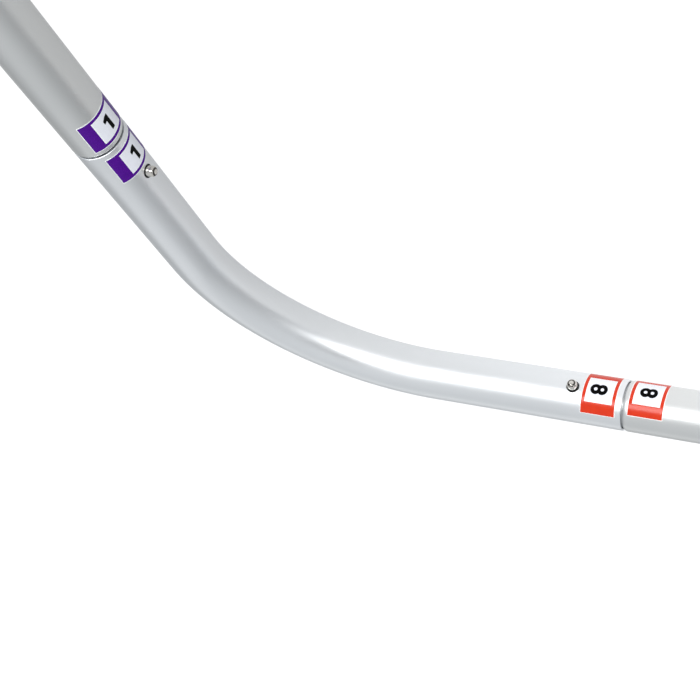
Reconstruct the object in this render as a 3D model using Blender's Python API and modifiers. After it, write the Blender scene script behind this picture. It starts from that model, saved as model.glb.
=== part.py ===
"""A bent corner tube and two side tubes of a tubular frame, held together by snap buttons.

The part lies flat on its side: the tube centreline is in the plane z = TUBE_RADIUS, one side
tube runs along +X (joint 1) and the other along -Y (joint 8). Units are metres, +Z is up, and
the origin is under the middle of the whole part.
"""
import math

import bmesh
import bpy
from mathutils import Matrix, Vector

# ---------------------------------------------------------------- driving dimensions
TUBE_RADIUS = 0.016
WALL = 0.0015
BEND_RADIUS = 0.128          # centreline of the bend, four tube diameters
LEG = 0.125                  # straight stretch of the corner tube at each end
SIDE_LENGTH = 0.300          # side tube from shoulder to shoulder
SEAM = 0.0005                # gap between a corner's rim and a side tube's shoulder
SHOULDER = 0.003             # length of the rounded shoulder
SPIGOT_LENGTH = 0.055
SPIGOT_RADIUS = 0.01415      # slides in the corner tube's bore of 0.0145
NECK = 0.006                 # length over which the bore narrows into the spigot

BUTTON_FROM_RIM = 0.032
BUTTON_RADIUS = 0.0032
BUTTON_TOP = 0.0212          # distance of the button's tip from the tube's centreline
DOME_HEIGHT = 0.0024
CORNER_HOLE_RADIUS = 0.0038
CORNER_HOLE_CUT = (0.010, 0.022)     # where a hole's cutter starts and ends
SPIGOT_HOLE_RADIUS = 0.00345
SPIGOT_HOLE_CUT = (0.009, 0.0155)

SPRING_WIDTH = 0.008
SPRING_THICKNESS = 0.0008
SPRING_FLAT = 0.0111         # distance of the spring's flat ends from the centreline
SPRING_REACH = 0.008         # how far a flat end runs past the button each way
FOLD_RADIUS = 0.004
FOLD_PLACE = 0.006           # centre of the fold, from the rim into the side tube
FOLD_ANGLE = math.radians(75)        # from the fold's crown to where a leg leaves it
TAIL_RADIUS = 0.0015
TAIL_HOLE_RADIUS = 0.0018
TAIL_HOLE_CUT = (0.009, 0.013)
RIVET_RADIUS = 0.0025
RIVET_HEIGHT = 0.0006
CLEARANCE = 0.0003

LABEL_LENGTH = 0.0216        # along the tube
LABEL_ARC = math.radians(117.5)
LABEL_GAP = 0.00014
LABEL_THICKNESS = 0.0002

TUBE_SIDES = 40
BEND_STEPS = 14
ROUND_SIDES = 20
LABEL_STEPS = 20
DOME_STEPS = 4
SHOULDER_STEPS = 4
FOLD_STEPS = 3
SHARP_ANGLE = math.radians(35)
MERGE = 0.00001

BORE_RADIUS = TUBE_RADIUS - WALL
SPIGOT_BORE = SPIGOT_RADIUS - WALL
ARM_REACH = LEG + 2 * SEAM + SIDE_LENGTH + SPIGOT_LENGTH - SEAM
BEND_REACH = BEND_RADIUS + TUBE_RADIUS
BEND_CENTRE = Vector(((BEND_REACH - ARM_REACH) / 2, (ARM_REACH - BEND_REACH) / 2, TUBE_RADIUS))

# what each label is: joint, where it sits, its gap to the rim plane, and the angle of its
# upper edge, measured from straight up towards the inside of the bend
LABELS = [
    ("1", "side", 0.0046, math.radians(27.7)),
    ("1", "corner", 0.0038, math.radians(32.7)),
    ("8", "corner", 0.0037, math.radians(33.6)),
    ("8", "side", 0.0041, math.radians(44.6)),
]
FAR_LABEL_GAP = 0.0046
FAR_LABEL_ANGLE = math.radians(31.3)

COLOURS = {
    "corner_aluminium": ((0.66, 0.67, 0.69), 0.34, 1.0),
    "side_aluminium": ((0.60, 0.61, 0.61), 0.36, 1.0),
    "button_nickel": ((0.80, 0.80, 0.80), 0.12, 1.0),
    "spring_steel": ((0.42, 0.43, 0.45), 0.35, 1.0),
    "label_1": ((0.33, 0.13, 0.47), 0.45, 0.0),
    "label_8": ((0.78, 0.12, 0.07), 0.45, 0.0),
    "label_2": ((0.08, 0.22, 0.62), 0.45, 0.0),
    "label_7": ((0.88, 0.38, 0.04), 0.45, 0.0),
}


# ---------------------------------------------------------------- helpers
def clear_scene():
    for thing in list(bpy.data.objects):
        bpy.data.objects.remove(thing, do_unlink=True)
    for group in list(bpy.data.collections):
        bpy.data.collections.remove(group)


def new_collection(name):
    group = bpy.data.collections.new(name)
    bpy.context.scene.collection.children.link(group)
    return group


def make_material(name):
    colour, roughness, metallic = COLOURS[name]
    material = bpy.data.materials.new(name)
    material.use_nodes = True
    shader = material.node_tree.nodes["Principled BSDF"]
    shader.inputs["Base Color"].default_value = (*colour, 1.0)
    shader.inputs["Roughness"].default_value = roughness
    shader.inputs["Metallic"].default_value = metallic
    material.diffuse_color = (*colour, 1.0)
    return material


def axes_matrix(origin, along, button_side):
    """A frame at origin: its Z runs along the tube and its X points where the button does."""
    z_axis = Vector(along)
    x_axis = Vector(button_side)
    y_axis = z_axis.cross(x_axis)
    turn = Matrix((x_axis, y_axis, z_axis)).transposed().to_4x4()
    return Matrix.Translation(origin) @ turn


def add_empty(name, matrix):
    empty = bpy.data.objects.new(name, None)
    empty.empty_display_size = 0.02
    empty.matrix_world = matrix
    PARTS.objects.link(empty)
    return empty


def add_object(name, mesh, material, parent=None, local=None):
    mesh.shade_smooth()
    mesh.set_sharp_from_angle(angle=SHARP_ANGLE)
    thing = bpy.data.objects.new(name, mesh)
    thing.parent = parent
    if local is not None:
        thing.matrix_local = local
    mesh.materials.append(MATERIALS[material])
    PARTS.objects.link(thing)
    return thing


def mesh_from(shape, name):
    mesh = bpy.data.meshes.new(name)
    shape.to_mesh(mesh)
    shape.free()
    return mesh


def line_mesh(name, points, closed):
    """A chain of edges through points, for a Screw modifier or an extrusion to sweep."""
    shape = bmesh.new()
    verts = [shape.verts.new(p) for p in points]
    for first, second in zip(verts, verts[1:]):
        shape.edges.new((first, second))
    if closed:
        shape.edges.new((verts[-1], verts[0]))
    return mesh_from(shape, name)


def add_screw(thing, sides):
    screw = thing.modifiers.new("turn", "SCREW")
    screw.axis = "Z"
    screw.angle = math.tau
    screw.steps = sides
    screw.render_steps = sides
    screw.use_merge_vertices = True
    screw.merge_threshold = MERGE
    screw.use_smooth_shade = True


def cut_hole(thing, frame, radius, cut_range):
    """Cut a round hole for a button along the frame's X axis."""
    low, high = cut_range
    shape = bmesh.new()
    bmesh.ops.create_cone(
        shape, cap_ends=True, segments=ROUND_SIDES,
        radius1=radius, radius2=radius, depth=high - low,
    )
    cutter = bpy.data.objects.new(f"cut_{thing.name}", mesh_from(shape, "cutter"))
    lie_down = Matrix.Rotation(math.radians(90), 4, "Y")
    middle = Vector(((low + high) / 2, 0, -BUTTON_FROM_RIM))
    cutter.matrix_world = frame @ Matrix.Translation(middle) @ lie_down
    cutter.hide_render = True
    cutter.display_type = "WIRE"
    CUTTERS.objects.link(cutter)
    cut = thing.modifiers.new("hole", "BOOLEAN")
    cut.operation = "DIFFERENCE"
    cut.solver = "EXACT"
    cut.object = cutter


# ---------------------------------------------------------------- the tubes
def make_corner_tube():
    """An open tube surface, swept leg - bend - leg, with its wall from Solidify."""
    shape = bmesh.new()
    start = BEND_CENTRE + Vector((LEG, BEND_RADIUS, 0))
    bmesh.ops.create_circle(
        shape, cap_ends=False, segments=TUBE_SIDES, radius=TUBE_RADIUS,
        matrix=axes_matrix(start, (-1, 0, 0), (0, -1, 0)),
    )
    ring = shape.edges[:]

    def extrude(ring, step):
        out = bmesh.ops.extrude_edge_only(shape, edges=ring)["geom"]
        verts = [g for g in out if isinstance(g, bmesh.types.BMVert)]
        bmesh.ops.translate(shape, verts=verts, vec=step)
        return [g for g in out if isinstance(g, bmesh.types.BMEdge)]

    ring = extrude(ring, Vector((-LEG, 0, 0)))
    turned = bmesh.ops.spin(
        shape, geom=ring, cent=BEND_CENTRE, axis=(0, 0, 1),
        angle=math.radians(90), steps=BEND_STEPS,
    )["geom_last"]
    ring = [g for g in turned if isinstance(g, bmesh.types.BMEdge)]
    extrude(ring, Vector((0, -LEG, 0)))
    bmesh.ops.recalc_face_normals(shape, faces=shape.faces[:])
    first = shape.faces[:][0]
    middle = first.calc_center_median()
    if first.normal.dot(middle - Vector((middle.x, start.y, start.z))) < 0:
        bmesh.ops.reverse_faces(shape, faces=shape.faces[:])
    tube = add_object("corner_tube", mesh_from(shape, "corner_tube"), "corner_aluminium")
    wall = tube.modifiers.new("wall", "SOLIDIFY")
    wall.thickness = WALL
    wall.offset = -1
    for frame in ARM_FRAMES.values():
        cut_hole(tube, frame, CORNER_HOLE_RADIUS, CORNER_HOLE_CUT)
    return tube


def shoulder_curve():
    """(radius, distance from the shoulder's start) from the spigot out to the full width."""
    rise = TUBE_RADIUS - SPIGOT_RADIUS
    steps = [math.radians(90) * i / SHOULDER_STEPS for i in range(SHOULDER_STEPS + 1)]
    return [(SPIGOT_RADIUS + rise * math.sin(a), SHOULDER * (1 - math.cos(a))) for a in steps]


def make_side_tube(number, arm):
    """One turned profile: spigot, rounded shoulder, tube, shoulder, spigot."""
    near, far = SEAM, SEAM + SIDE_LENGTH
    bottom, top = near - SPIGOT_LENGTH, far + SPIGOT_LENGTH
    curve = shoulder_curve()
    outer = [(SPIGOT_RADIUS, bottom)] + [(r, near + z) for r, z in curve]
    outer += [(r, far - z) for r, z in reversed(curve)] + [(SPIGOT_RADIUS, top)]
    inner = [
        (SPIGOT_BORE, bottom), (SPIGOT_BORE, near),
        (BORE_RADIUS, near + NECK), (BORE_RADIUS, far - NECK),
        (SPIGOT_BORE, far), (SPIGOT_BORE, top),
    ]
    profile = [Vector((r, 0, z)) for r, z in list(reversed(outer)) + inner]
    name = f"side_tube_{number}"
    tube = add_object(name, line_mesh(name, profile, True), "side_aluminium", arm)
    add_screw(tube, TUBE_SIDES)
    for frame in latch_frames(number):
        cut_hole(tube, frame, SPIGOT_HOLE_RADIUS, SPIGOT_HOLE_CUT)
    return tube


def latch_frames(number):
    """Frames at the rim planes of a side tube's two ends, Z into the side tube."""
    near = ARM_FRAMES[number]
    turn_round = Matrix.Diagonal((1, -1, -1, 1))
    far = near @ Matrix.Translation((0, 0, 2 * SEAM + SIDE_LENGTH)) @ turn_round
    return near, far


# ---------------------------------------------------------------- the latches
def make_button(number, latch):
    """A domed pin with a thinner tail that is riveted through the spring."""
    shoulder = SPRING_FLAT + SPRING_THICKNESS / 2 + CLEARANCE
    rivet_top = SPRING_FLAT - SPRING_THICKNESS / 2 - CLEARANCE
    dome_base = BUTTON_TOP - DOME_HEIGHT
    profile = []
    for i in range(DOME_STEPS + 1):
        angle = math.radians(90) * i / DOME_STEPS
        profile.append((BUTTON_RADIUS * math.sin(angle), dome_base + DOME_HEIGHT * math.cos(angle)))
    profile += [
        (BUTTON_RADIUS, shoulder), (TAIL_RADIUS, shoulder),
        (TAIL_RADIUS, rivet_top), (RIVET_RADIUS, rivet_top),
        (RIVET_RADIUS, rivet_top - RIVET_HEIGHT), (0, rivet_top - RIVET_HEIGHT),
    ]
    name = f"snap_button_{number}"
    points = [Vector((r, 0, z)) for r, z in profile]
    stand_on_side = Matrix.Rotation(math.radians(90), 4, "Y")
    local = Matrix.Translation((0, 0, -BUTTON_FROM_RIM)) @ stand_on_side
    button = add_object(name, line_mesh(name, points, False), "button_nickel", latch, local)
    add_screw(button, ROUND_SIDES)
    return button


def make_spring(number, latch, frame):
    """A folded strip whose flat ends press on opposite sides of the spigot's bore."""
    tip = -BUTTON_FROM_RIM - SPRING_REACH
    heel = -BUTTON_FROM_RIM + SPRING_REACH
    side = [(SPRING_FLAT, tip), (SPRING_FLAT, heel)]
    fold = []
    for step in range(FOLD_STEPS + 1):
        angle = FOLD_ANGLE * (1 - step / FOLD_STEPS)
        fold.append((FOLD_RADIUS * math.sin(angle), FOLD_PLACE + FOLD_RADIUS * math.cos(angle)))
    half = side + fold
    path = half + [(-x, z) for x, z in reversed(half[:-1])]
    name = f"latch_spring_{number}"
    shape = bmesh.new()
    shape.from_mesh(line_mesh(name, [(x, -SPRING_WIDTH / 2, z) for x, z in path], False))
    swept = bmesh.ops.extrude_edge_only(shape, edges=shape.edges[:])["geom"]
    moved = [g for g in swept if isinstance(g, bmesh.types.BMVert)]
    bmesh.ops.translate(shape, verts=moved, vec=(0, SPRING_WIDTH, 0))
    bmesh.ops.recalc_face_normals(shape, faces=shape.faces[:])
    spring = add_object(name, mesh_from(shape, name), "spring_steel", latch)
    strip = spring.modifiers.new("strip", "SOLIDIFY")
    strip.thickness = SPRING_THICKNESS
    strip.offset = 0
    strip.use_even_offset = True
    cut_hole(spring, frame, TAIL_HOLE_RADIUS, TAIL_HOLE_CUT)
    return spring


# ---------------------------------------------------------------- the labels
def make_label(name, material, frame, low, top_angle):
    """A thin sheet bent round the tube, from low to low + LABEL_LENGTH along it."""
    up = frame.to_3x3().inverted() @ Vector((0, 0, 1))
    inward = Vector((1, 0, 0))
    radius = TUBE_RADIUS + LABEL_GAP
    edge = up * math.cos(top_angle) + inward * math.sin(top_angle)
    shape = bmesh.new()
    ends = [shape.verts.new(edge * radius + Vector((0, 0, z))) for z in (low, low + LABEL_LENGTH)]
    line = shape.edges.new(ends)
    turn_axis = up.cross(inward)
    bmesh.ops.spin(
        shape, geom=[*ends, line], cent=(0, 0, 0), axis=turn_axis,
        angle=LABEL_ARC, steps=LABEL_STEPS,
    )
    for face in shape.faces:
        face.normal_update()
        middle = face.calc_center_median()
        if face.normal.dot(Vector((middle.x, middle.y, 0))) < 0:
            face.normal_flip()
    label = add_object(name, mesh_from(shape, name), material, None, frame)
    sheet = label.modifiers.new("sheet", "SOLIDIFY")
    sheet.thickness = LABEL_THICKNESS
    sheet.offset = 1
    return label


# ---------------------------------------------------------------- the whole part
clear_scene()
PARTS = new_collection("snap_button_tube_corner")
CUTTERS = new_collection("cutters")
MATERIALS = {name: make_material(name) for name in COLOURS}
ARM_FRAMES = {
    "1": axes_matrix(BEND_CENTRE + Vector((LEG, BEND_RADIUS, 0)), (1, 0, 0), (0, -1, 0)),
    "8": axes_matrix(BEND_CENTRE + Vector((-BEND_RADIUS, -LEG, 0)), (0, -1, 0), (1, 0, 0)),
}
FAR_NUMBERS = {"1": "2", "8": "7"}

make_corner_tube()
for number in ARM_FRAMES:
    arm = add_empty(f"arm_{number}", ARM_FRAMES[number])
    make_side_tube(number, arm)
    ends = zip((number, FAR_NUMBERS[number]), latch_frames(number))
    for end_number, frame in ends:
        latch = add_empty(f"latch_{end_number}", frame)
        make_spring(end_number, latch, frame)
        make_button(end_number, latch)
    far_number, far_frame = FAR_NUMBERS[number], latch_frames(number)[1]
    make_label(f"label_{far_number}_side", f"label_{far_number}", far_frame,
               FAR_LABEL_GAP, FAR_LABEL_ANGLE)
for number, place, gap, angle in LABELS:
    low = gap if place == "side" else -gap - LABEL_LENGTH
    make_label(f"label_{number}_{place}", f"label_{number}", ARM_FRAMES[number], low, angle)
bpy.context.view_layer.update()
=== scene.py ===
# %% [markdown]
# # A snap-button tube corner
#
# This scene dresses the corner of a take-apart tube frame. A bent aluminium tube takes a
# straight tube in each end. Every joint is locked by a sprung pin, and the same number is
# stuck on both sides of it, so that nobody puts the frame together the wrong way round.
#
# The solids that give sizes and joints are loaded first and never touched. Each visible
# piece is modelled again around them with Blender's own tools: a primitive, a few edit-mode
# steps and a modifier or two, all in metres.

# %% Load the frame
import math

import bmesh
import bpy
from mathutils import Matrix, Vector


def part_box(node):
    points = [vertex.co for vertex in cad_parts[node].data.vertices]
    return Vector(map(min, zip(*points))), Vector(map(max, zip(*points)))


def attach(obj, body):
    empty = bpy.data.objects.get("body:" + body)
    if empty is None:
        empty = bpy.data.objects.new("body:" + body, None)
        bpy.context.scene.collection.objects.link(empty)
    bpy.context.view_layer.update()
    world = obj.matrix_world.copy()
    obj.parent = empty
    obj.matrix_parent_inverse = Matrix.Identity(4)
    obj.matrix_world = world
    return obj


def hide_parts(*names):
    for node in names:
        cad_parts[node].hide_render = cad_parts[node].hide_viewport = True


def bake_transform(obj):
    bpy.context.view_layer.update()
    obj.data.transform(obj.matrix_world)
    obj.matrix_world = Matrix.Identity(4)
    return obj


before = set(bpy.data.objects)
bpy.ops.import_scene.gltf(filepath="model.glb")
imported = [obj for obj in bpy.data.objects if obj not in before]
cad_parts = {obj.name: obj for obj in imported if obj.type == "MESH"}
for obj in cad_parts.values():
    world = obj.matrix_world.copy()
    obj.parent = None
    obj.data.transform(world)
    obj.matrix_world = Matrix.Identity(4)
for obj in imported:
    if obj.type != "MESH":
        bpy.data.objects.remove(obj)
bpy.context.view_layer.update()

# %% [markdown]
# ## Places, read from the solids
#
# The corner tube's box gives the tube's radius, the bend's radius and the two rims. Only
# what a box cannot tell is written down here: how long a leg is, and how a side tube narrows
# into the spigot that slides into the corner.

# %% Measure the tubes
corner_low, corner_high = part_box("corner_tube")
side_low, side_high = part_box("side_tube_1")
TUBE_RADIUS = (corner_high.z - corner_low.z) / 2
WALL = 0.0015
LEG = 0.125
BEND_RADIUS = corner_high.x - corner_low.x - LEG - TUBE_RADIUS
BEND_CENTRE = Vector((corner_high.x - LEG, corner_low.y + LEG, TUBE_RADIUS))

SEAM = 0.0005
SHOULDER = 0.003
SPIGOT_RADIUS = 0.01415
SPIGOT_LENGTH = corner_high.x + SEAM - side_low.x
SIDE_LENGTH = side_high.x - side_low.x - 2 * SPIGOT_LENGTH
BUTTON_FROM_RIM = 0.032
print(f"tube radius {TUBE_RADIUS:.4f}, bend radius {BEND_RADIUS:.4f}")
print(f"side tube {SIDE_LENGTH:.3f} between shoulders, spigot {SPIGOT_LENGTH:.3f}")

# %% [markdown]
# ## Two helpful frames for each joint
#
# Side tubes, pins and springs are modelled with the tube standing on Z and the pin leaning
# towards +X, then put in place with one matrix. Labels are read by people, so they get a frame
# of their own: +Y is the top of the digit, +Z the sky, and +X the inside of the frame, which is
# the side that the labels face.


# %% Frames
def axes_matrix(origin, x_axis, z_axis):
    """A matrix whose X and Z run along the given directions, at origin."""
    y_axis = Vector(z_axis).cross(Vector(x_axis))
    turn = Matrix((Vector(x_axis), y_axis, Vector(z_axis))).transposed().to_4x4()
    return Matrix.Translation(origin) @ turn


RIM_1 = BEND_CENTRE + Vector((LEG, BEND_RADIUS, 0))
RIM_8 = BEND_CENTRE + Vector((-BEND_RADIUS, -LEG, 0))
FAR_RIM = SIDE_LENGTH + 2 * SEAM
FAR_END = Matrix.Translation((0, 0, FAR_RIM)) @ Matrix.Diagonal((1, -1, -1, 1))
LEAN = Matrix.Rotation(math.radians(90), 4, "Y")
NEAR_FRAMES = {
    "1": axes_matrix(RIM_1, (0, -1, 0), (1, 0, 0)),
    "8": axes_matrix(RIM_8, (1, 0, 0), (0, -1, 0)),
}
FAR_NUMBERS = {"1": "2", "8": "7"}
LATCH_FRAMES = dict(NEAR_FRAMES)
for number, near in NEAR_FRAMES.items():
    LATCH_FRAMES[FAR_NUMBERS[number]] = near @ FAR_END
LABEL_FRAMES = {
    "1": Matrix.Translation(RIM_1) @ Matrix.Rotation(math.radians(-90), 4, "Z"),
    "8": Matrix.Translation(RIM_8),
}
print("joints:", sorted(LATCH_FRAMES))

# %% [markdown]
# ## Camera
#
# The camera looks down on the inside of the corner at about 21 degrees, and is rolled so far
# that the sky is at the bottom of the picture: the bend hangs in the frame like a slack rope,
# with joint 1 at the upper left and joint 8 at the right.

# %% Make the camera
CAMERA_FROM_BEND = Vector((0.6683, -0.3412, 0.3385))
LOOK = Vector((-0.8292, 0.4273, -0.3604)).normalized()
PICTURE_UP = Vector((0.4550, 0.1413, -0.8792))
LENS = 73.05

camera_data = bpy.data.cameras.new("camera")
camera_data.lens = LENS
camera_data.sensor_width = 36
camera_data.clip_start = 0.02
camera_data.clip_end = 100
camera = bpy.data.objects.new("camera", camera_data)
bpy.context.scene.collection.objects.link(camera)
picture_right = LOOK.cross(PICTURE_UP).normalized()
picture_up = picture_right.cross(LOOK)
turn = Matrix((picture_right, picture_up, -LOOK)).transposed().to_4x4()
camera.matrix_world = Matrix.Translation(BEND_CENTRE + CAMERA_FROM_BEND) @ turn
bpy.context.scene.camera = camera
print("camera at", tuple(round(c, 3) for c in camera.location))

# %% [markdown]
# ## Studio
#
# The floor is painted light: it glows though it is no lamp, and to the camera it is plain
# white, which paints out the tube's shadows, so the tube seems to float on white. In
# reflections its glow is painted shade that fades slowly away from the arm of joint 8. The
# metal shows what is round it: a wide softbox
# gives the long white streak on one arm, and a second one beside it fades along its width, so
# that the streak dies out softly round the bend. The room gives the greys and gets darker
# towards the ground, and a black card above the viewer gives the pins their dark crescents.
# The last lamp is a fill that no reflection shows: it lifts the labels of joint 1, and leaves
# the metal alone.


# %% Lights, floor and room
def aim(thing, place, target):
    thing.location = place
    thing.rotation_mode = "QUATERNION"
    thing.rotation_quaternion = (target - place).to_track_quat("-Z", "Y")


def on_dome(azimuth, elevation, distance):
    """A place seen from the bend at an azimuth (from +X towards +Y) and elevation."""
    a, e = math.radians(azimuth), math.radians(elevation)
    way = Vector((math.cos(a) * math.cos(e), math.sin(a) * math.cos(e), math.sin(e)))
    return BEND_CENTRE + way * distance


def softbox(name, azimuth, elevation, width, height, power):
    """A white lamp of the given size, aimed at the bend."""
    data = bpy.data.lights.new(name, "AREA")
    data.shape = "RECTANGLE"
    data.size = width
    data.size_y = height
    data.energy = power
    light = bpy.data.objects.new(name, data)
    bpy.context.scene.collection.objects.link(light)
    aim(light, on_dome(azimuth, elevation, LAMP_DISTANCE), BEND_CENTRE)
    return light


def fade_softbox(light):
    """Let a softbox fade along its width, from dark at one end to full at the other."""
    light.data.use_nodes = True
    tree = light.data.node_tree
    lamp = tree.nodes["Emission"]
    spot = tree.nodes.new("ShaderNodeNewGeometry")
    parts = tree.nodes.new("ShaderNodeSeparateXYZ")
    tree.links.new(spot.outputs["Parametric"], parts.inputs[0])
    fade = tree.nodes.new("ShaderNodeMapRange")
    fade.interpolation_type = "SMOOTHSTEP"
    tree.links.new(parts.outputs["X"], fade.inputs["Value"])
    tree.links.new(fade.outputs["Result"], lamp.inputs["Strength"])


def plain_material(name, colour, roughness):
    material = bpy.data.materials.new(name)
    material.use_nodes = True
    shader = material.node_tree.nodes["Principled BSDF"]
    shader.inputs["Base Color"].default_value = (*colour, 1)
    shader.inputs["Roughness"].default_value = roughness
    return material


def flag(name, azimuth, elevation, distance, width, height):
    """A black card that only reflections see."""
    bpy.ops.mesh.primitive_plane_add(size=1)
    card = bpy.context.object
    card.name = name
    card.scale = (width, height, 1)
    aim(card, on_dome(azimuth, elevation, distance), BEND_CENTRE)
    card.visible_camera = False
    card.visible_diffuse = False
    card.visible_shadow = False
    card.data.materials.append(plain_material(name, CARD_BLACK, MATT))


def floor_painted_light():
    """Painted light: a floor that is white to the camera over its shadows, and whose dimmer glow fades
    along the sheet as painted shade.
    """
    material = plain_material("floor_painted_light", SHEET_GREY, MATT)
    tree = material.node_tree
    shader = tree.nodes["Principled BSDF"]
    shader.inputs["Specular IOR Level"].default_value = 0.0
    shader.inputs["Emission Color"].default_value = (*PAINTED_GLOW_COLOUR, 1)
    spot = tree.nodes.new("ShaderNodeTexCoord")
    along = tree.nodes.new("ShaderNodeVectorMath")
    along.operation = "DOT_PRODUCT"
    tree.links.new(spot.outputs["Object"], along.inputs[0])
    along.inputs[1].default_value = PAINTED_SHADE_DIRECTION
    fade = tree.nodes.new("ShaderNodeMapRange")
    fade.interpolation_type = "SMOOTHSTEP"
    tree.links.new(along.outputs["Value"], fade.inputs["Value"])
    for key, value in zip(("From Min", "From Max", "To Min", "To Max"), PAINTED_SHADE_RANGE):
        fade.inputs[key].default_value = value
    path = tree.nodes.new("ShaderNodeLightPath")
    seen = tree.nodes.new("ShaderNodeMath")
    seen.operation = "MAXIMUM"
    tree.links.new(fade.outputs["Result"], seen.inputs[0])
    tree.links.new(path.outputs["Is Camera Ray"], seen.inputs[1])
    tree.links.new(seen.outputs[0], shader.inputs["Emission Strength"])
    return material


def pale_room():
    """Walls that are grey near the ground and brighter overhead."""
    room = bpy.data.worlds.new("pale_room")
    room.use_nodes = True
    tree = room.node_tree
    background = tree.nodes["Background"]
    background.inputs["Color"].default_value = (*ROOM_COLOUR, 1)
    spot = tree.nodes.new("ShaderNodeTexCoord")
    parts = tree.nodes.new("ShaderNodeSeparateXYZ")
    tree.links.new(spot.outputs["Generated"], parts.inputs[0])
    rise = tree.nodes.new("ShaderNodeMapRange")
    tree.links.new(parts.outputs["Z"], rise.inputs["Value"])
    for key, value in zip(("From Min", "From Max", "To Min", "To Max"), ROOM_RANGE):
        rise.inputs[key].default_value = value
    tree.links.new(rise.outputs["Result"], background.inputs["Strength"])
    return room


MATT = 0.9
LAMP_DISTANCE = 2.6
CARD_BLACK = (0.02, 0.02, 0.02)
SHEET_GREY = (0.15, 0.15, 0.15)
PAINTED_GLOW_COLOUR = (0.985, 0.99, 1.0)
# The floor's glow is painted light, and its fade below is painted shade in reflections.
PAINTED_SHADE_DIRECTION = (0.7, 0.7, 0.0)             # the glow gets weaker in this direction
PAINTED_SHADE_RANGE = (-0.30, 0.12, 1.00, 0.46)   # where the fade starts and ends, and from what to what
ROOM_COLOUR = (0.95, 0.975, 1.0)
ROOM_RANGE = (0.15, 0.95, 0.37, 0.72)    # from near the ground to overhead
FLOOR_SIZE = 60

bpy.ops.object.select_all(action="DESELECT")
bpy.ops.mesh.primitive_plane_add(size=FLOOR_SIZE, location=(0, 0, 0))
floor = bpy.context.object
floor.name = "floor"
# The floor's material is painted light: white to the camera over its shadows, with a painted shade that
# fades in reflections.
floor.data.materials.append(floor_painted_light())

bpy.context.scene.world = pale_room()
bpy.context.scene.view_settings.view_transform = "Standard"

softbox("key_softbox", azimuth=3, elevation=27, width=2.9, height=0.95, power=62)
bend_lamp = softbox("bend_softbox", azimuth=-55, elevation=27, width=2.7, height=0.95, power=13)
fade_softbox(bend_lamp)
softbox("rear_softbox", azimuth=166, elevation=30, width=1.7, height=1.0, power=2.0)
fill = softbox("label_fill", azimuth=-85, elevation=35, width=1.2, height=1.2, power=14)
fill.visible_glossy = False
flag("dark_card", azimuth=-35, elevation=52, distance=2.4, width=1.3, height=1.0)

# %% [markdown]
# ## Small tools for modelling
#
# `pick` selects by place in edit mode, `boolean` cuts one closed piece with another,
# `turn_piece` makes anything round, `place` puts a piece where it belongs, and `finish_piece`
# gives it its materials.


# %% Modelling helpers
def only(piece):
    """Make piece the one selected and active object."""
    bpy.ops.object.select_all(action="DESELECT")
    piece.select_set(True)
    bpy.context.view_layer.objects.active = piece


def pick(kind, test):
    """In edit mode, select the VERT, EDGE or FACE elements whose middle passes a test."""
    bpy.ops.mesh.select_mode(type=kind)
    bpy.ops.mesh.select_all(action="DESELECT")
    shape = bmesh.from_edit_mesh(bpy.context.edit_object.data)
    elements = {"VERT": shape.verts, "EDGE": shape.edges, "FACE": shape.faces}[kind]
    for element in elements:
        corners = [element] if kind == "VERT" else list(element.verts)
        middle = sum((v.co for v in corners), Vector()) / len(corners)
        if test(middle):
            element.select_set(True)
    bmesh.update_edit_mesh(bpy.context.edit_object.data)


def apply_modifier(piece, kind, **settings):
    only(piece)
    modifier = piece.modifiers.new(kind.lower(), kind)
    for key, value in settings.items():
        setattr(modifier, key, value)
    bpy.ops.object.modifier_apply(modifier=modifier.name)


def boolean(piece, other, operation):
    """Cut or intersect piece with other, and throw other away. Both have to be closed."""
    before = len(piece.data.vertices)
    apply_modifier(piece, "BOOLEAN", object=other, operation=operation, solver="MANIFOLD")
    bpy.data.objects.remove(other)
    print(f"{piece.name}: {operation.lower()}, {before} vertices became {len(piece.data.vertices)}")


def place(piece, matrix):
    """Move a piece by a matrix and write its place into its mesh."""
    only(piece)
    piece.matrix_world = matrix @ piece.matrix_world
    bpy.ops.object.transform_apply(location=True, rotation=True, scale=True)


def turn_piece(name, stations, sides):
    """Extrude a ring of vertices from one (height, radius) station to the next."""
    height, radius = stations[0]
    bpy.ops.object.select_all(action="DESELECT")
    bpy.ops.mesh.primitive_circle_add(vertices=sides, radius=radius, location=(0, 0, height))
    piece = bpy.context.object
    piece.name = name
    bpy.ops.object.transform_apply()
    bpy.ops.object.mode_set(mode="EDIT")
    bpy.ops.mesh.select_all(action="SELECT")
    for next_height, next_radius in stations[1:]:
        step = (0, 0, next_height - height)
        bpy.ops.mesh.extrude_region_move(TRANSFORM_OT_translate={"value": step})
        share = next_radius / radius
        bpy.ops.transform.resize(value=(share, share, 1), center_override=(0, 0, next_height))
        height, radius = next_height, next_radius
    bpy.ops.mesh.select_all(action="SELECT")
    bpy.ops.mesh.remove_doubles(threshold=MERGE)
    bpy.ops.mesh.normals_make_consistent(inside=False)
    bpy.ops.object.mode_set(mode="OBJECT")
    return piece


def finish_piece(piece, materials, choose=None):
    """Give a piece its materials, chosen face by face where there are several."""
    piece.data.materials.clear()
    for material in materials:
        piece.data.materials.append(material)
    for face in piece.data.polygons:
        face.material_index = choose(face) if choose else 0
    only(piece)
    bpy.ops.object.shade_smooth_by_angle(angle=SMOOTH_BELOW)
    triangles = sum(len(face.vertices) - 2 for face in piece.data.polygons)
    print(f"{piece.name}: {triangles} triangles")


MERGE = 1e-6     # points closer than this are one point
POLE = 1e-7      # the radius of a turned piece at its poles, where all points become one
SMOOTH_BELOW = math.radians(30)
TUBE_SIDES = 128
PIN_SIDES = 64

# %% [markdown]
# ## Finishes
#
# Three effects are shared by several finishes, so each is a node group: a fine sandy grain, a
# slow cloudiness, and hairline scratches. Every material feeds them its own values. The
# Principled shader itself stays in the material.


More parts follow.
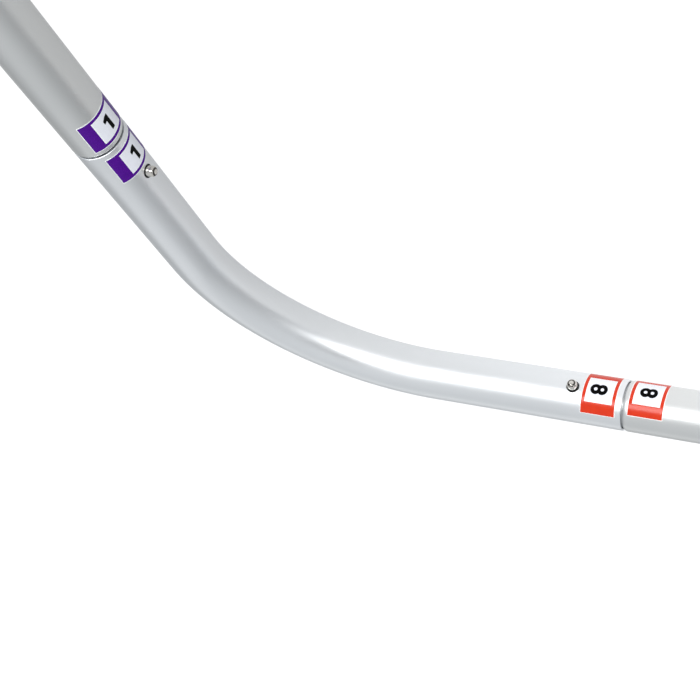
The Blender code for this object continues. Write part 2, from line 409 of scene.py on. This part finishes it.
# %% Node group helpers
def new_group(name, inputs, outputs):
    """An empty shader group with float inputs (name, default) and named float outputs."""
    group = bpy.data.node_groups.new(name, "ShaderNodeTree")
    for label, value in inputs:
        socket = group.interface.new_socket(label, in_out="INPUT", socket_type="NodeSocketFloat")
        socket.default_value = value
    for label in outputs:
        group.interface.new_socket(label, in_out="OUTPUT", socket_type="NodeSocketFloat")
    start = group.nodes.new("NodeGroupInput")
    end = group.nodes.new("NodeGroupOutput")
    return group, start, end


def add_node(tree, kind, settings=None, **inputs):
    """A node with its settings and input values, where a value may be another socket."""
    node = tree.nodes.new(kind)
    for key, value in (settings or {}).items():
        setattr(node, key, value)
    for key, value in inputs.items():
        socket = node.inputs[key.replace("_", " ")]
        if isinstance(value, bpy.types.NodeSocket):
            tree.links.new(value, socket)
        else:
            socket.default_value = value
    return node


def remap(tree, value, low, high, to_low, to_high):
    node = add_node(tree, "ShaderNodeMapRange", None, Value=value)
    for key, number in (("From Min", low), ("From Max", high), ("To Min", to_low), ("To Max", to_high)):
        node.inputs[key].default_value = number
    return node.outputs["Result"]


# %% Shared effects
grain_group, start, end = new_group("sandy_grain", [("Size", 2500.0)], ["Grain"])
spot = add_node(grain_group, "ShaderNodeTexCoord")
fine = add_node(grain_group, "ShaderNodeTexNoise", None, Vector=spot.outputs["Object"],
                Scale=start.outputs["Size"], Detail=2.0, Roughness=0.6)
centred = add_node(grain_group, "ShaderNodeMath", {"operation": "SUBTRACT"})
grain_group.links.new(fine.outputs["Fac"], centred.inputs[0])
centred.inputs[1].default_value = 0.5
grain_group.links.new(centred.outputs[0], end.inputs["Grain"])

cloud_group, start, end = new_group("slow_clouds", [("Size", 14.0)], ["Cloud"])
spot = add_node(cloud_group, "ShaderNodeTexCoord")
slow = add_node(cloud_group, "ShaderNodeTexNoise", None, Vector=spot.outputs["Object"],
                Scale=start.outputs["Size"], Detail=3.0, Roughness=0.5)
cloud_group.links.new(slow.outputs["Fac"], end.inputs["Cloud"])

scratch_group, start, end = new_group("hairlines", [("Size", 60.0), ("Share", 0.1)], ["Scratch"])
spot = add_node(scratch_group, "ShaderNodeTexCoord")
stretch = add_node(scratch_group, "ShaderNodeMapping", None, Vector=spot.outputs["Object"])
stretch.inputs["Rotation"].default_value = (0.3, 0.5, 0.7)
stretch.inputs["Scale"].default_value = (1.0, 9.0, 5.0)
lines = add_node(scratch_group, "ShaderNodeTexNoise", None, Vector=stretch.outputs["Vector"],
                 Scale=start.outputs["Size"], Detail=4.0, Roughness=0.7)
edge = add_node(scratch_group, "ShaderNodeMath", {"operation": "SUBTRACT"})
edge.inputs[0].default_value = 0.5
scratch_group.links.new(start.outputs["Share"], edge.inputs[1])
below = add_node(scratch_group, "ShaderNodeMapRange", None, Value=lines.outputs["Fac"])
below.inputs["From Min"].default_value = 0.30
scratch_group.links.new(edge.outputs[0], below.inputs["From Max"])
below.inputs["To Min"].default_value = 1.0
below.inputs["To Max"].default_value = 0.0
scratch_group.links.new(below.outputs["Result"], end.inputs["Scratch"])
print("shared effects:", [g.name for g in bpy.data.node_groups])

# %% [markdown]
# ### Metals
#
# Anodised aluminium is satin because its skin is etched: the grain is far finer than a
# millimetre and only softens the reflections, and the tone drifts a little along the tube.
# The sawn rim has no such skin and is brighter, and the bores are duller: the side tubes' is
# as drawn, and the corner's, which shows in the seams and the pin holes, is painted nearly
# black as painted shade. The pins are nickel plated, the springs are bare steel with a
# blue-grey cast.


# %% Metal finishes
def use_group(tree, group, **values):
    node = tree.nodes.new("ShaderNodeGroup")
    node.node_tree = group
    for key, value in values.items():
        node.inputs[key].default_value = value
    return node.outputs[0]


def metal(name, light, dark, rough, rough_swing, grain_size, bump, scratches=0.0):
    """A metal whose tone drifts between two colours and whose roughness follows its grain."""
    material = bpy.data.materials.new(name)
    material.use_nodes = True
    tree = material.node_tree
    shader = tree.nodes["Principled BSDF"]
    shader.inputs["Metallic"].default_value = 1.0
    cloud = use_group(tree, cloud_group)
    grain = use_group(tree, grain_group, Size=grain_size)
    tone = add_node(tree, "ShaderNodeMix", {"data_type": "RGBA"})
    tree.links.new(remap(tree, cloud, 0.3, 0.7, 0.0, 1.0), tone.inputs["Factor"])
    tone.inputs["A"].default_value = (*dark, 1)
    tone.inputs["B"].default_value = (*light, 1)
    colour = tone.outputs["Result"]
    if scratches:
        worn = add_node(tree, "ShaderNodeMix", {"data_type": "RGBA"})
        share = use_group(tree, scratch_group)
        tree.links.new(remap(tree, share, 0.0, 1.0, 0.0, scratches), worn.inputs["Factor"])
        tree.links.new(colour, worn.inputs["A"])
        worn.inputs["B"].default_value = (0.9, 0.9, 0.9, 1)
        colour = worn.outputs["Result"]
    tree.links.new(colour, shader.inputs["Base Color"])
    tree.links.new(remap(tree, grain, -0.5, 0.5, rough - rough_swing, rough + rough_swing),
                   shader.inputs["Roughness"])
    relief = add_node(tree, "ShaderNodeBump", None, Height=grain, Strength=bump, Distance=0.0001)
    tree.links.new(relief.outputs["Normal"], shader.inputs["Normal"])
    return material


CORNER_SKIN = metal("corner_anodised", (0.870, 0.890, 0.905), (0.845, 0.866, 0.884), 0.38, 0.10,
                    2600.0, 0.16)
SIDE_SKIN = metal("side_anodised", (0.755, 0.766, 0.762), (0.730, 0.743, 0.739), 0.39, 0.10,
                  2600.0, 0.16)
BARE_CUT = metal("sawn_rim", (0.88, 0.90, 0.93), (0.80, 0.82, 0.85), 0.38, 0.08,
                 4200.0, 0.05, scratches=0.2)
# The corner's bore and pin-hole walls: nearly black, as painted shade in the seams and holes.
PAINTED_SHADE_BORE = metal("corner_bore_painted_shade", (0.09, 0.09, 0.10), (0.06, 0.06, 0.07), 0.55, 0.10,
                  1800.0, 0.20, scratches=0.1)
DRAWN_BORE = metal("side_bore", (0.42, 0.43, 0.44), (0.32, 0.33, 0.34), 0.48, 0.12,
                   1800.0, 0.25, scratches=0.3)
NICKEL = metal("nickel_plate", (0.78, 0.755, 0.71), (0.70, 0.675, 0.63), 0.07, 0.03,
               3000.0, 0.02, scratches=0.10)
# A dark nickel for a ring on each pin's nose: a painted reflection of the dark room.
PAINTED_DARK_REFLECTION = metal("nickel_painted_reflection", (0.16, 0.15, 0.14), (0.07, 0.065, 0.06), 0.16, 0.06,
                3000.0, 0.04, scratches=0.05)
SPRING_STEEL = metal("spring_steel", (0.42, 0.44, 0.48), (0.33, 0.34, 0.38), 0.32, 0.10,
                     1600.0, 0.15, scratches=0.5)

# %% [markdown]
# ### Labels
#
# The labels are printed vinyl: smooth, a little glossy, with ink that is never quite even.
# One material function makes every colour, because only the ink differs.


# %% Vinyl finishes
def vinyl(name, ink, thin_ink, rough=0.26, gloss=0.45):
    """Printed vinyl, whose ink varies between a full and a slightly thin coat."""
    material = bpy.data.materials.new(name)
    material.use_nodes = True
    tree = material.node_tree
    shader = tree.nodes["Principled BSDF"]
    shader.inputs["Specular IOR Level"].default_value = gloss
    grain = use_group(tree, grain_group, Size=1500.0)
    cloud = use_group(tree, cloud_group, Size=260.0)
    mottle = add_node(tree, "ShaderNodeMath", {"operation": "ADD"})
    tree.links.new(grain, mottle.inputs[0])
    tree.links.new(cloud, mottle.inputs[1])
    tone = add_node(tree, "ShaderNodeMix", {"data_type": "RGBA"})
    tree.links.new(remap(tree, mottle.outputs[0], 0.2, 0.8, 0.0, 1.0), tone.inputs["Factor"])
    tone.inputs["A"].default_value = (*ink, 1)
    tone.inputs["B"].default_value = (*thin_ink, 1)
    tree.links.new(tone.outputs["Result"], shader.inputs["Base Color"])
    tree.links.new(remap(tree, grain, -0.5, 0.5, rough - 0.06, rough + 0.06),
                   shader.inputs["Roughness"])
    relief = add_node(tree, "ShaderNodeBump", None, Height=grain, Strength=0.06, Distance=0.0001)
    tree.links.new(relief.outputs["Normal"], shader.inputs["Normal"])
    return material


MARGIN = vinyl("label_margin", (0.92, 0.95, 0.93), (0.88, 0.91, 0.89))
WINDOW = vinyl("label_window", (0.76, 0.78, 0.84), (0.72, 0.74, 0.80))
BLACK_INK = vinyl("digit_ink", (0.001, 0.001, 0.001), (0.003, 0.003, 0.003), 0.34, gloss=0.03)
INKS = {
    "1": vinyl("ink_purple", (0.056, 0.0010, 0.205), (0.072, 0.0018, 0.236), gloss=0.12),
    "8": vinyl("ink_red", (0.520, 0.020, 0.0004), (0.580, 0.028, 0.0008), 0.22, gloss=0.40),
    "2": vinyl("ink_blue", (0.010, 0.070, 0.400), (0.020, 0.095, 0.460), gloss=0.3),
    "7": vinyl("ink_orange", (0.800, 0.190, 0.004), (0.860, 0.240, 0.010), gloss=0.3),
}
print("materials:", len(bpy.data.materials))

# %% [markdown]
# ## The corner tube
#
# A real corner is a straight tube drawn round a former. The model is made the same way: a
# ring of vertices is pushed along the first leg, spun a quarter turn about the bend's
# centre, and pushed along the second leg. Solidify then gives the open skin its wall, and
# each leg gets the hole that its pin snaps into.


# %% Sweep the tube
BEND_STEPS = 60
LEG_STEPS = (0.020, 0.024, LEG - 0.044)    # the pin's hole falls in the middle stretch
bpy.ops.object.select_all(action="DESELECT")
bpy.ops.mesh.primitive_circle_add(vertices=TUBE_SIDES, radius=TUBE_RADIUS,
                                  location=RIM_1, rotation=(0, math.radians(90), 0))
corner = bpy.context.object
corner.name = "corner_tube_drawn"
bpy.ops.object.transform_apply()
bpy.ops.object.mode_set(mode="EDIT")
bpy.ops.mesh.select_all(action="SELECT")
for step in LEG_STEPS:
    bpy.ops.mesh.extrude_region_move(TRANSFORM_OT_translate={"value": (-step, 0, 0)})
bpy.ops.mesh.spin(steps=BEND_STEPS, angle=math.radians(-90), center=BEND_CENTRE, axis=(0, 0, 1))
for step in reversed(LEG_STEPS):
    bpy.ops.mesh.extrude_region_move(TRANSFORM_OT_translate={"value": (0, -step, 0)})
bpy.ops.mesh.select_all(action="SELECT")
bpy.ops.mesh.remove_doubles(threshold=MERGE)
bpy.ops.mesh.normals_make_consistent(inside=False)
bpy.ops.object.mode_set(mode="OBJECT")
first_face = corner.data.polygons[0]
outward = first_face.center - Vector((first_face.center.x, RIM_1.y, RIM_1.z))
print("corner skin faces out:", first_face.normal.dot(outward) > 0)
print("corner box", [round(c, 4) for c in corner.dimensions])

# %% Wall, rims and pin holes
HOLE_RADIUS = 0.0040
RIM_CHAMFER = 0.0004
FLAT = 0.25     # an edge between faces that agree more than this isn't a corner of the rim

if first_face.normal.dot(outward) < 0:
    bpy.ops.object.mode_set(mode="EDIT")
    bpy.ops.mesh.flip_normals()
    bpy.ops.object.mode_set(mode="OBJECT")
apply_modifier(corner, "SOLIDIFY", thickness=WALL, offset=-1)
only(corner)
bpy.ops.object.mode_set(mode="EDIT")
pick("EDGE", lambda m: abs(m.x - RIM_1.x) < MERGE or abs(m.y - RIM_8.y) < MERGE)
shape = bmesh.from_edit_mesh(corner.data)
for line in [line for line in shape.edges if line.select]:
    first, second = (face.normal for face in line.link_faces)
    if abs(first.dot(second)) > FLAT:
        line.select_set(False)
bmesh.update_edit_mesh(corner.data)
bpy.ops.mesh.bevel(offset=RIM_CHAMFER, segments=4, affect="EDGES")
bpy.ops.object.mode_set(mode="OBJECT")


def hole_cutter(radius, low, mouth, flare, high, matrix):
    """A pin hole's cutter from low to high, flared at the mouth so that the edge is broken."""
    stations = [(low, POLE), (low, radius), (mouth, radius), (mouth + flare, radius + flare),
                (high, radius + flare), (high, POLE)]
    cutter = turn_piece("cutter", stations, PIN_SIDES)
    place(cutter, matrix @ Matrix.Translation((0, 0, -BUTTON_FROM_RIM)) @ LEAN)
    return cutter


for matrix in NEAR_FRAMES.values():
    cutter = hole_cutter(HOLE_RADIUS, low=0.010, mouth=TUBE_RADIUS - 0.0003, flare=0.0002,
                         high=0.020, matrix=matrix)
    boolean(corner, cutter, "DIFFERENCE")


def corner_part(face):
    """0 for the skin, 1 for the sawn rim, 2 for the bore and the pin holes' walls, painted dark as
    shade.
    """
    middle = face.center
    at_rim = middle.x > RIM_1.x - RIM_CHAMFER or middle.y < RIM_8.y + RIM_CHAMFER
    if at_rim:
        return 1
    if middle.x > BEND_CENTRE.x:
        centreline = Vector((middle.x, RIM_1.y, TUBE_RADIUS))
    elif middle.y < BEND_CENTRE.y:
        centreline = Vector((RIM_8.x, middle.y, TUBE_RADIUS))
    else:
        out = Vector((middle.x - BEND_CENTRE.x, middle.y - BEND_CENTRE.y, 0)).normalized()
        centreline = BEND_CENTRE + out * BEND_RADIUS
    across = middle - centreline
    hole_wall = abs(face.normal.dot(across.normalized())) < 0.5
    return 2 if hole_wall or across.length < TUBE_RADIUS - WALL * 0.5 else 0


finish_piece(corner, [CORNER_SKIN, BARE_CUT, PAINTED_SHADE_BORE], corner_part)
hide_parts("corner_tube")
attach(corner, "tube_corner")

# %% [markdown]
# ## The side tubes
#
# Each side tube is swaged at both ends: squeezed down over a short rounded shoulder into a
# spigot that fits the corner's bore. It is a turned shape, so one list of heights and radii
# says everything, first up the outside and then back down the bore.


# %% Side tube profile
def shoulder(base, direction):
    """Heights and radii of a rounded shoulder that starts at base and widens to the tube."""
    rise = TUBE_RADIUS - SPIGOT_RADIUS
    quarter = [math.radians(90) * i / SHOULDER_STEPS for i in range(SHOULDER_STEPS + 1)]
    return [(base + direction * SHOULDER * (1 - math.cos(a)), SPIGOT_RADIUS + rise * math.sin(a))
            for a in quarter]


def neck(base, direction):
    """The bore's gentle widening behind the shoulder."""
    narrow, wide = SPIGOT_RADIUS - WALL, TUBE_RADIUS - WALL
    shares = [i / NECK_STEPS for i in range(NECK_STEPS + 1)]
    return [(base + direction * NECK_LENGTH * s, narrow + (wide - narrow) * (3 - 2 * s) * s * s)
            for s in shares]


SHOULDER_STEPS = 12
NECK_LENGTH = 0.006
NECK_STEPS = 8
TIP_CHAMFER = 0.0004
near_shoulder, far_shoulder = SEAM, SEAM + SIDE_LENGTH
low_tip, high_tip = near_shoulder - SPIGOT_LENGTH, far_shoulder + SPIGOT_LENGTH
outside = [(low_tip, SPIGOT_RADIUS - TIP_CHAMFER), (low_tip + TIP_CHAMFER, SPIGOT_RADIUS)]
outside += shoulder(near_shoulder, 1) + list(reversed(shoulder(far_shoulder, -1)))
outside += [(high_tip - TIP_CHAMFER, SPIGOT_RADIUS), (high_tip, SPIGOT_RADIUS - TIP_CHAMFER)]
bore = neck(near_shoulder, 1) + list(reversed(neck(far_shoulder, -1)))
tip_bore = SPIGOT_RADIUS - WALL
inside = [(high_tip, tip_bore)] + list(reversed(bore)) + [(low_tip, tip_bore)]
profile = outside + inside + outside[:1]
print("side tube profile:", len(profile), "stations")

# %% Make both side tubes
SPIGOT_HOLE_RADIUS = 0.0036


def side_part(face):
    """0 for the skin, 1 for the sawn tips, 2 for the bore, while the tube stands on Z."""
    middle = face.center
    if middle.z < low_tip + TIP_CHAMFER or middle.z > high_tip - TIP_CHAMFER:
        return 1
    radius = math.hypot(middle.x, middle.y)
    body = near_shoulder < middle.z < far_shoulder
    limit = (TUBE_RADIUS if body else SPIGOT_RADIUS) - WALL * 0.6
    return 2 if radius < limit else 0


for number, matrix in NEAR_FRAMES.items():
    tube = turn_piece(f"side_tube_{number}_swaged", profile, TUBE_SIDES)
    for end_matrix in (Matrix.Identity(4), FAR_END):
        cutter = hole_cutter(SPIGOT_HOLE_RADIUS, low=0.009, mouth=SPIGOT_RADIUS - 0.0002,
                             flare=0.0003, high=0.0155, matrix=end_matrix)
        boolean(tube, cutter, "DIFFERENCE")
    finish_piece(tube, [SIDE_SKIN, BARE_CUT, DRAWN_BORE], side_part)
    place(tube, matrix)
    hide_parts(f"side_tube_{number}")
    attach(tube, "tube_corner")

# %% [markdown]
# ## Snap pins
#
# The pin is turned: a rounded nose that shows in the hole, a shoulder that sits on the
# spring, and a thin tail that is hammered into a rivet head on the spring's other side.

# %% Make the pins
PIN_RADIUS = 0.0032
PIN_TOP = 0.0212
NOSE = 0.0024
NOSE_STEPS = 16
SPRING_FLAT = 0.0111
SPRING_THICKNESS = 0.0008
PLAY = 0.0003
TAIL_RADIUS = 0.0015
RIVET_RADIUS = 0.0025
RIVET_HEIGHT = 0.0006

seat = SPRING_FLAT + SPRING_THICKNESS / 2 + PLAY
rivet = SPRING_FLAT - SPRING_THICKNESS / 2 - PLAY
nose = []
for step in range(NOSE_STEPS + 1):
    angle = math.radians(90) * step / NOSE_STEPS
    nose.append((PIN_TOP - NOSE * (1 - math.sin(angle)), PIN_RADIUS * math.cos(angle)))
nose[-1] = (PIN_TOP, POLE)
pin_profile = [(rivet - RIVET_HEIGHT, POLE), (rivet - RIVET_HEIGHT, RIVET_RADIUS * 0.7),
               (rivet - RIVET_HEIGHT * 0.6, RIVET_RADIUS), (rivet, RIVET_RADIUS),
               (rivet, TAIL_RADIUS), (seat, TAIL_RADIUS), (seat, PIN_RADIUS - PLAY / 2),
               (seat + PLAY / 2, PIN_RADIUS)] + nose

# Where on the nose the dark nickel paints its dark reflection.
PAINTED_REFLECTION_RING = (0.45, 0.80)      # from and to what share of the pin's radius


def pin_part(face):
    """0 for bright plating, 1 for a ring round the nose that is painted dark, a painted reflection of
    the dark room.
    """
    middle = face.center
    share = math.hypot(middle.x, middle.y) / PIN_RADIUS
    on_nose = middle.z > PIN_TOP - NOSE
    return 1 if on_nose and PAINTED_REFLECTION_RING[0] < share < PAINTED_REFLECTION_RING[1] else 0


for number, matrix in LATCH_FRAMES.items():
    pin = turn_piece(f"snap_pin_{number}", pin_profile, PIN_SIDES)
    finish_piece(pin, [NICKEL, PAINTED_DARK_REFLECTION], pin_part)
    place(pin, matrix @ Matrix.Translation((0, 0, -BUTTON_FROM_RIM)) @ LEAN)
    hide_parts(f"snap_button_{number}")
    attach(pin, f"button_{number}")

# %% [markdown]
# ## Latch springs
#
# A strip of spring steel is folded like a hairpin and pushed into the spigot, where both
# ends press on the bore. A flat plane becomes the end under the pin, its edge is pushed
# along the sloping leg, spun round the fold and pushed back. The leg under the pin has to
# bend when the pin goes in; here the finished strip is fixed in place and rides on no body.

# %% Make the springs
SPRING_WIDTH = 0.008
SPRING_REACH = 0.008
FOLD_RADIUS = 0.004
FOLD_PLACE = 0.006
FOLD_START = math.radians(75)
HEEL_ROUNDING = 0.003
END_ROUNDING = 0.0028
STRIP_EDGE = 0.00012
DRILL_REACH = 0.002
heel = -BUTTON_FROM_RIM + SPRING_REACH
tip = -BUTTON_FROM_RIM - SPRING_REACH
fold_x = FOLD_RADIUS * math.sin(FOLD_START)
fold_z = FOLD_PLACE + FOLD_RADIUS * math.cos(FOLD_START)


def push(step):
    bpy.ops.mesh.extrude_region_move(TRANSFORM_OT_translate={"value": step})


def make_strip(name):
    """The hairpin in its latch frame: Z along the tube, +X towards the pin."""
    bpy.ops.object.select_all(action="DESELECT")
    middle = (SPRING_FLAT, 0, (tip + heel) / 2)
    bpy.ops.mesh.primitive_plane_add(size=1, location=middle, rotation=(0, math.radians(90), 0))
    strip = bpy.context.object
    strip.name = name
    strip.scale = (heel - tip, SPRING_WIDTH, 1)
    bpy.ops.object.transform_apply()
    bpy.ops.object.mode_set(mode="EDIT")
    pick("EDGE", lambda m: abs(m.z - heel) < MERGE)
    push((fold_x - SPRING_FLAT, 0, fold_z - heel))
    bpy.ops.mesh.spin(steps=16, angle=2 * FOLD_START, center=(0, 0, FOLD_PLACE), axis=(0, 1, 0))
    edges = [e for e in bmesh.from_edit_mesh(strip.data).edges if e.select]
    turned = sum((v.co.x for e in edges for v in e.verts)) < 0
    print(name, "fold turned the right way:", turned)
    push((fold_x - SPRING_FLAT, 0, heel - fold_z))
    push((0, 0, tip - heel))
    pick("EDGE", lambda m: abs(m.z - heel) < MERGE and abs(m.y) < MERGE)
    bpy.ops.mesh.bevel(offset=HEEL_ROUNDING, segments=5, affect="EDGES")
    pick("VERT", lambda m: abs(m.z - tip) < MERGE)
    bpy.ops.mesh.bevel(offset=END_ROUNDING, segments=6, affect="VERTICES")
    bpy.ops.mesh.select_all(action="SELECT")
    bpy.ops.mesh.remove_doubles(threshold=MERGE)
    bpy.ops.mesh.normals_make_consistent(inside=False)
    bpy.ops.object.mode_set(mode="OBJECT")
    apply_modifier(strip, "SOLIDIFY", thickness=SPRING_THICKNESS, offset=0, use_even_offset=True)
    return strip


for number, matrix in LATCH_FRAMES.items():
    strip = make_strip(f"hairpin_spring_{number}")
    low, high = SPRING_FLAT - DRILL_REACH, SPRING_FLAT + DRILL_REACH
    drill = turn_piece("cutter", [(low, POLE), (low, TAIL_RADIUS + PLAY),
                                  (high, TAIL_RADIUS + PLAY), (high, POLE)], PIN_SIDES)
    place(drill, Matrix.Translation((0, 0, -BUTTON_FROM_RIM)) @ LEAN)
    boolean(strip, drill, "DIFFERENCE")
    apply_modifier(strip, "BEVEL", width=STRIP_EDGE, segments=2, limit_method="ANGLE",
                   angle_limit=math.radians(50))
    finish_piece(strip, [SPRING_STEEL])
    place(strip, matrix)
    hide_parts(f"latch_spring_{number}")
    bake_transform(strip)

# %% [markdown]
# ## Labels
#
# A label is a piece of a tube that is a hair wider than the real one. A cylinder without caps
# is trimmed to the label's arc with `bisect`, and scored with more bisects where the print
# changes colour: a thin white margin, a coloured border that is broad above and below, and a
# square pale window. Solidify gives the film its thickness.

# %% Label sizes
LABEL_LENGTH = 0.0219
LABEL_ARC = math.radians(117.5)
LABEL_SIDES = 240
FILM_LIFT = 0.00002
FILM = 0.00010
MARGIN_WIDTH = 0.00034
BORDER = 0.0024
BAND = 0.0078
KEYLINE = 0.0003
FILM_RADIUS = TUBE_RADIUS + FILM_LIFT
# node, arm, how far its upper edge is turned from the top, how far off its digit is printed
LABELS = [
    ("label_1_side", "1", 27.7, 0.0),
    ("label_1_corner", "1", 32.7, 0.0),
    ("label_8_corner", "8", 33.6, 0.0009),
    ("label_8_side", "8", 44.6, 0.0),
    ("label_2_side", "1", 31.3, 0.0),
    ("label_7_side", "8", 31.3, 0.0),
]


def label_frame(node, arm):
    """The arm's label frame, moved along the tube to the middle of a label's solid."""
    low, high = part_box(node)
    middle = LABEL_FRAMES[arm].inverted() @ ((low + high) / 2)
    return LABEL_FRAMES[arm] @ Matrix.Translation((0, middle.y, 0))


# %% Cut a label from a tube
def score(angle, keep=None):
    """Cut along the tube at an angle from the top, and maybe drop what lies behind the cut."""
    normal = (math.cos(angle), 0, -math.sin(angle))
    bpy.ops.mesh.select_all(action="SELECT")
    bpy.ops.mesh.bisect(plane_co=(0, 0, 0), plane_no=normal,
                        clear_inner=keep == "after", clear_outer=keep == "before")


def score_across(y):
    bpy.ops.mesh.select_all(action="SELECT")
    bpy.ops.mesh.bisect(plane_co=(0, y, 0), plane_no=(0, 1, 0))


def make_film(name, start):
    """A label's film round the Y axis, from the angle start to start plus its arc."""
    finish = start + LABEL_ARC
    bpy.ops.object.select_all(action="DESELECT")
    bpy.ops.mesh.primitive_cylinder_add(vertices=LABEL_SIDES, radius=FILM_RADIUS,
                                        depth=LABEL_LENGTH, end_fill_type="NOTHING",
                                        rotation=(math.radians(90), 0, 0))
    film = bpy.context.object
    film.name = name
    bpy.ops.object.transform_apply()
    bpy.ops.object.mode_set(mode="EDIT")
    score(start, "after")
    score(finish, "before")
    for distance in [MARGIN_WIDTH, BAND, BAND + KEYLINE]:
        score(start + distance / FILM_RADIUS)
        score(finish - distance / FILM_RADIUS)
    for distance in [MARGIN_WIDTH, BORDER, BORDER + KEYLINE]:
        score_across(LABEL_LENGTH / 2 - distance)
        score_across(distance - LABEL_LENGTH / 2)
    bpy.ops.mesh.select_all(action="SELECT")
    bpy.ops.mesh.remove_doubles(threshold=MERGE)
    bpy.ops.mesh.normals_make_consistent(inside=False)
    bpy.ops.object.mode_set(mode="OBJECT")
    apply_modifier(film, "SOLIDIFY", thickness=FILM, offset=1)
    return film


def print_zone(start):
    """A function that tells a face's ink: 0 margin and keyline, 1 colour, 2 window."""

    def zone(face):
        x, y, z = face.center
        if math.hypot(x, z) < FILM_RADIUS + FILM / 2:
            return 0
        round_it = ((math.atan2(x, z) - start) % math.tau) * FILM_RADIUS
        edge = min(round_it, LABEL_ARC * FILM_RADIUS - round_it)
        end = LABEL_LENGTH / 2 - abs(y)
        if min(edge, end) < MARGIN_WIDTH:
            return 0
        if edge < BAND or end < BORDER:
            return 1
        return 0 if edge < BAND + KEYLINE or end < BORDER + KEYLINE else 2

    return zone


# %% [markdown]
# ### Digits
#
# The digits are plain block figures. Each is modelled as a thick flat shape that sticks
# through the label, and only what lies inside a very thin tube round the label is kept, so
# the ink follows the curve exactly. The 1, the 7 and the 8 are filled outlines, the 8 with two
# eyes cut out of it, and the 2 is a bent wall with thickness.


# %% Digit shapes
MM = 0.001
STROKE = 0.0024
DEPTH_LOW = 0.008            # how far from the tube's middle a thick digit starts and ends
DEPTH_HIGH = 0.019
INK_LIFT = 0.00001
INK = 0.00003
ARC_STEPS = 40
INK_REACH = 0.010            # half the length of the thin tube that the ink is kept in
ONE = [(0.1, 5.1), (2.3, 5.1), (2.3, -5.6), (-0.2, -5.6), (-0.2, 1.7), (-2.4, 1.2), (-2.4, 3.7)]
SEVEN = [(-3.3, 5.2), (3.3, 5.2), (3.3, 3.4), (0.4, -5.2), (-2.1, -5.2), (0.8, 3.0), (-3.3, 3.0)]
LOBE = (3.5, 3.3)            # half the width and height of each half of the 8
LOBE_MIDDLE = 2.1
EYE = 1.1
BOW = (2.1, 2.3, 1.9, 165, -40)   # the bow of the 2: middle, half sizes, first and last degrees
FOOT = [(-2.3, -4.0), (3.3, -4.0)]


def line_from(points, closed, spare=0.0):
    """A line in the label's plane, from points in millimetres.

    A digit is drawn with x to its right and y to its top. On the label its right is -Z and
    its top +Y, and its depth runs along +X.
    """
    mesh = bpy.data.meshes.new("digit")
    shape = bmesh.new()
    verts = [shape.verts.new((DEPTH_LOW - spare, y * MM, -x * MM)) for x, y in points]
    count = len(verts)
    for i in range(count if closed else count - 1):
        shape.edges.new((verts[i], verts[(i + 1) % count]))
    shape.to_mesh(mesh)
    shape.free()
    wall = bpy.data.objects.new("digit", mesh)
    bpy.context.scene.collection.objects.link(wall)
    only(wall)
    bpy.ops.object.mode_set(mode="EDIT")
    bpy.ops.mesh.select_all(action="SELECT")
    return wall


def stroke(points):
    """A drawn line with thickness."""
    wall = line_from(points, False)
    push((DEPTH_HIGH - DEPTH_LOW, 0, 0))
    bpy.ops.mesh.select_all(action="SELECT")
    bpy.ops.mesh.normals_make_consistent(inside=False)
    bpy.ops.object.mode_set(mode="OBJECT")
    apply_modifier(wall, "SOLIDIFY", thickness=STROKE, offset=0, use_even_offset=True)
    return wall


def outline(points, spare=0.0):
    """A filled outline with depth, and some spare depth at both ends for a cutter."""
    wall = line_from(points, True, spare)
    bpy.ops.mesh.edge_face_add()
    push((DEPTH_HIGH - DEPTH_LOW + 2 * spare, 0, 0))
    bpy.ops.mesh.select_all(action="SELECT")
    bpy.ops.mesh.normals_make_consistent(inside=False)
    bpy.ops.object.mode_set(mode="OBJECT")
    return wall


def ellipse(middle, wide, tall, begin=0, finish=360):
    """Points round an ellipse above or below the label's middle, from begin to finish degrees."""
    sweep = finish - begin
    angles = [math.radians(begin + sweep * i / ARC_STEPS) for i in range(ARC_STEPS)]
    return [(wide * math.cos(a), middle + tall * math.sin(a)) for a in angles]


def digit_shape(number):
    """The thick shape of a joint's number."""
    if number == "1":
        return outline(ONE)
    if number == "7":
        return outline(SEVEN)
    if number == "8":
        waist = math.degrees(math.asin(LOBE_MIDDLE / LOBE[1]))
        eight = outline(ellipse(LOBE_MIDDLE, *LOBE, -waist, 180 + waist)
                        + ellipse(-LOBE_MIDDLE, *LOBE, 180 - waist, 360 + waist))
        for middle in (LOBE_MIDDLE, -LOBE_MIDDLE):
            boolean(eight, outline(ellipse(middle, EYE, EYE), MM), "DIFFERENCE")
        return eight
    return stroke(ellipse(*BOW) + FOOT)


def make_digit(name, number, start, shift):
    """Ink in the middle of a label: the digit cut to a thin tube just above the film."""
    inner = FILM_RADIUS + FILM + INK_LIFT
    outer = inner + INK
    stations = [(-INK_REACH, inner), (-INK_REACH, outer), (INK_REACH, outer), (INK_REACH, inner),
                (-INK_REACH, inner)]
    shell = turn_piece(name, stations, LABEL_SIDES)
    place(shell, Matrix.Rotation(math.radians(90), 4, "X"))
    boolean(shell, digit_shape(number), "INTERSECT")
    turn_down = start + LABEL_ARC / 2 - math.radians(90)
    place(shell, Matrix.Translation((0, shift, 0)) @ Matrix.Rotation(turn_down, 4, "Y"))
    return shell


# %% Make all labels
for node, arm, top_angle, shift in LABELS:
    number = node.split("_")[1]
    start = math.radians(top_angle)
    where = label_frame(node, arm)
    film = make_film(f"{node}_film", start)
    finish_piece(film, [MARGIN, INKS[number], WINDOW], print_zone(start))
    place(film, where)
    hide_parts(node)
    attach(film, "tube_corner")
    digit = make_digit(f"{node}_digit", number, start, shift)
    finish_piece(digit, [BLACK_INK])
    place(digit, where)
    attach(digit, "tube_corner")
